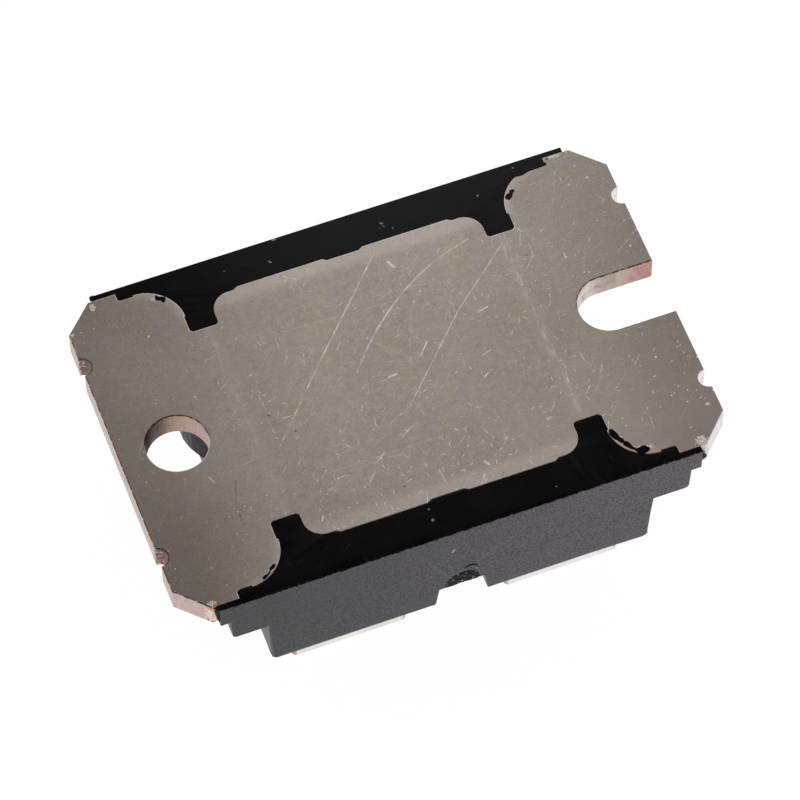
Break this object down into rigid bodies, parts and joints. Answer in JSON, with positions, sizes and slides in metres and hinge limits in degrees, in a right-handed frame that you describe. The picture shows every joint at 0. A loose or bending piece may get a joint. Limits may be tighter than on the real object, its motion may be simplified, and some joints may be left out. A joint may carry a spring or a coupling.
{
  "type": "power mosfet module",
  "caption": "Flat power transistor module: black moulded body on an isolated metal base with a screw hole and an open slot, and bent screw terminals over captive nuts.",
  "frame": {"origin": "centre of the module's outline, in the plane of the four terminal faces on which it lies", "axes": "+X along the length from the round hole to the open slot, +Z out of the base face, +Y across the width, away from the wall with the moulding scar"},
  "size_m": [0.0382, 0.0254, 0.012],
  "materials": {
    "nickel_plate": "satin nickel plating over copper, finely scratched",
    "black_epoxy": "fine matt grain",
    "tinned_copper": "satin tin plating",
    "plated_steel": "satin",
    "bare_copper": "bare copper",
    "solder": "dull",
    "ceramic": "matt white",
    "silicon": "polished",
    "aluminium_wire": "bright"
  },
  "bodies": {
    "root": {"base_solder": "solder", "baseplate": "nickel_plate", "body_moulding": "black_epoxy", "ceramic_tile": "ceramic", "die_solder": "solder", "drain_pad": "bare_copper", "drain_solder": "solder", "drain_terminal": "tinned_copper", "gate_pad": "bare_copper", "gate_solder": "solder", "gate_terminal": "tinned_copper", "gate_wire": "aluminium_wire", "lower_copper": "bare_copper", "mosfet_die": "silicon", "nut_drain": "plated_steel", "nut_gate": "plated_steel", "nut_source_a": "plated_steel", "nut_source_b": "plated_steel", "source_a_solder": "solder", "source_b_solder": "solder", "source_pad": "bare_copper", "source_terminal_a": "tinned_copper", "source_terminal_b": "tinned_copper", "source_wire_1": "aluminium_wire", "source_wire_2": "aluminium_wire", "source_wire_3": "aluminium_wire", "source_wire_4": "aluminium_wire", "source_wire_5": "aluminium_wire", "source_wire_6": "aluminium_wire", "source_wire_7": "aluminium_wire", "source_wire_8": "aluminium_wire"}
  },
  "joints": []
}
